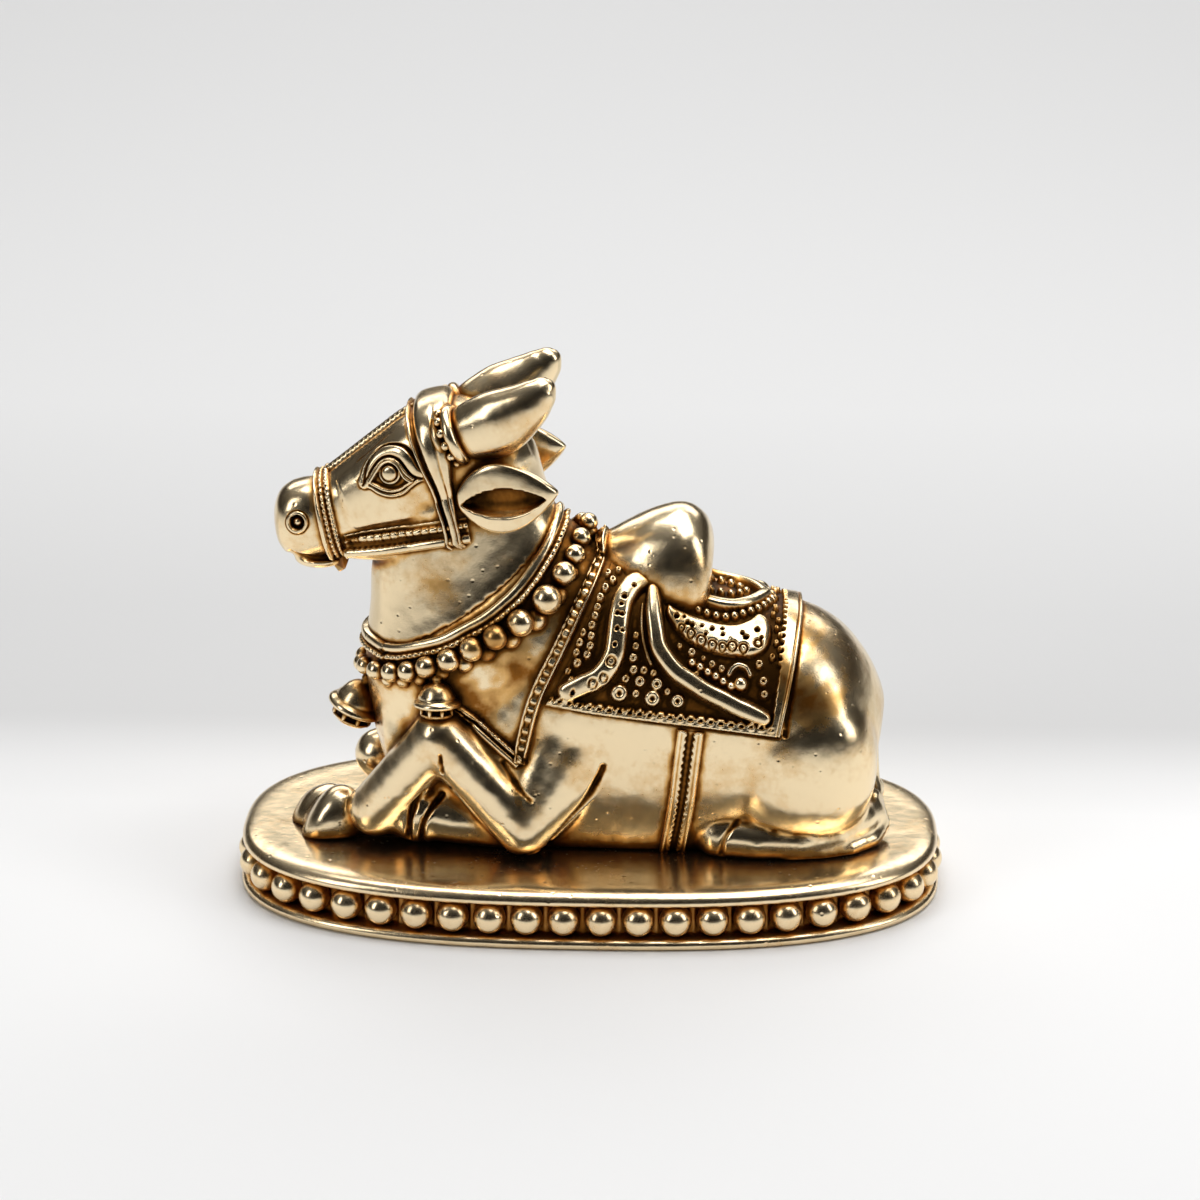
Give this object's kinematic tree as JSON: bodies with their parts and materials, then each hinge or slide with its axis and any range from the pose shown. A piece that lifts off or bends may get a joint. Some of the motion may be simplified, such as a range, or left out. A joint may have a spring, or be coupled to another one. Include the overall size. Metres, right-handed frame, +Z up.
{
  "type": "seated bull figure on a beaded plinth",
  "caption": "Cast brass figure of a resting Nandi bull with bridle, bead necklace, bells and ornamented saddle cloth, on an oval plinth edged with beads",
  "frame": {"origin": "middle of the plinth's underside", "axes": "+X from the muzzle towards the rump along the plinth, +Y to the bull's right, +Z up"},
  "size_m": [0.1511, 0.0824, 0.1138],
  "materials": {
    "bull_brass": "polished, dark brown patina in the recesses",
    "plinth_brass": "polished, stained on top, dark patina between the beads"
  },
  "bodies": {
    "root": {"nandi_bull": "bull_brass", "oval_plinth": "plinth_brass"}
  },
  "joints": []
}
